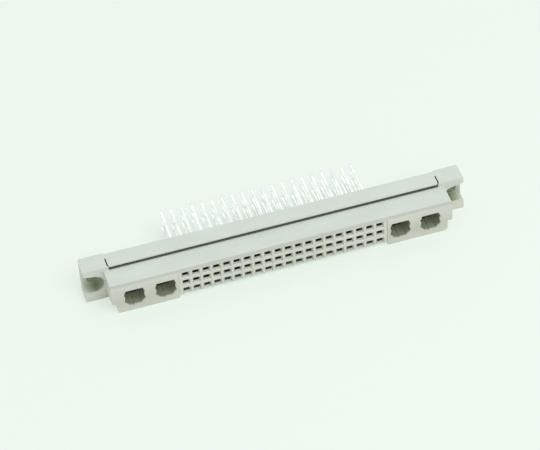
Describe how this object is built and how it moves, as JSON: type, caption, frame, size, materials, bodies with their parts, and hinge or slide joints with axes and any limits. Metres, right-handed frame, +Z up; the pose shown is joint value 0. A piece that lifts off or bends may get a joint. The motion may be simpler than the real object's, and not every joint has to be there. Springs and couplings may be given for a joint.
{
  "type": "backplane connector",
  "caption": "Straight female board connector with rows of signal contacts, large empty cavities at both ends and a screw ear at each end.",
  "frame": {"origin": "centre of the underside of the overall box", "axes": "+X along the connector, +Y towards the posts (the mating face looks to -Y), +Z up through the contact rows"},
  "size_m": [0.095, 0.023, 0.0096],
  "materials": {
    "housing": "moulded light grey polyester",
    "contacts": "tinned"
  },
  "bodies": {
    "root": {"housing": "housing", "contact_a01": "contacts", "contact_a02": "contacts", "contact_a03": "contacts", "contact_a04": "contacts", "contact_a05": "contacts", "contact_a06": "contacts", "contact_a07": "contacts", "contact_a08": "contacts", "contact_a09": "contacts", "contact_a10": "contacts", "contact_a11": "contacts", "contact_a12": "contacts", "contact_a13": "contacts", "contact_a14": "contacts", "contact_a15": "contacts", "contact_a16": "contacts", "contact_a17": "contacts", "contact_a18": "contacts", "contact_a19": "contacts", "contact_a20": "contacts", "contact_b01": "contacts", "contact_b02": "contacts", "contact_b03": "contacts", "contact_b04": "contacts", "contact_b05": "contacts", "contact_b06": "contacts", "contact_b07": "contacts", "contact_b08": "contacts", "contact_b09": "contacts", "contact_b11": "contacts", "contact_b12": "contacts", "contact_b13": "contacts", "contact_b14": "contacts", "contact_b15": "contacts", "contact_b16": "contacts", "contact_b17": "contacts", "contact_b18": "contacts", "contact_b19": "contacts", "contact_b20": "contacts", "contact_c01": "contacts", "contact_c02": "contacts", "contact_c03": "contacts", "contact_c04": "contacts", "contact_c05": "contacts", "contact_c06": "contacts", "contact_c07": "contacts", "contact_c08": "contacts", "contact_c09": "contacts", "contact_c10": "contacts", "contact_c11": "contacts", "contact_c12": "contacts", "contact_c13": "contacts", "contact_c14": "contacts", "contact_c15": "contacts", "contact_c16": "contacts", "contact_c17": "contacts", "contact_c18": "contacts", "contact_c19": "contacts", "contact_c20": "contacts"}
  },
  "joints": []
}
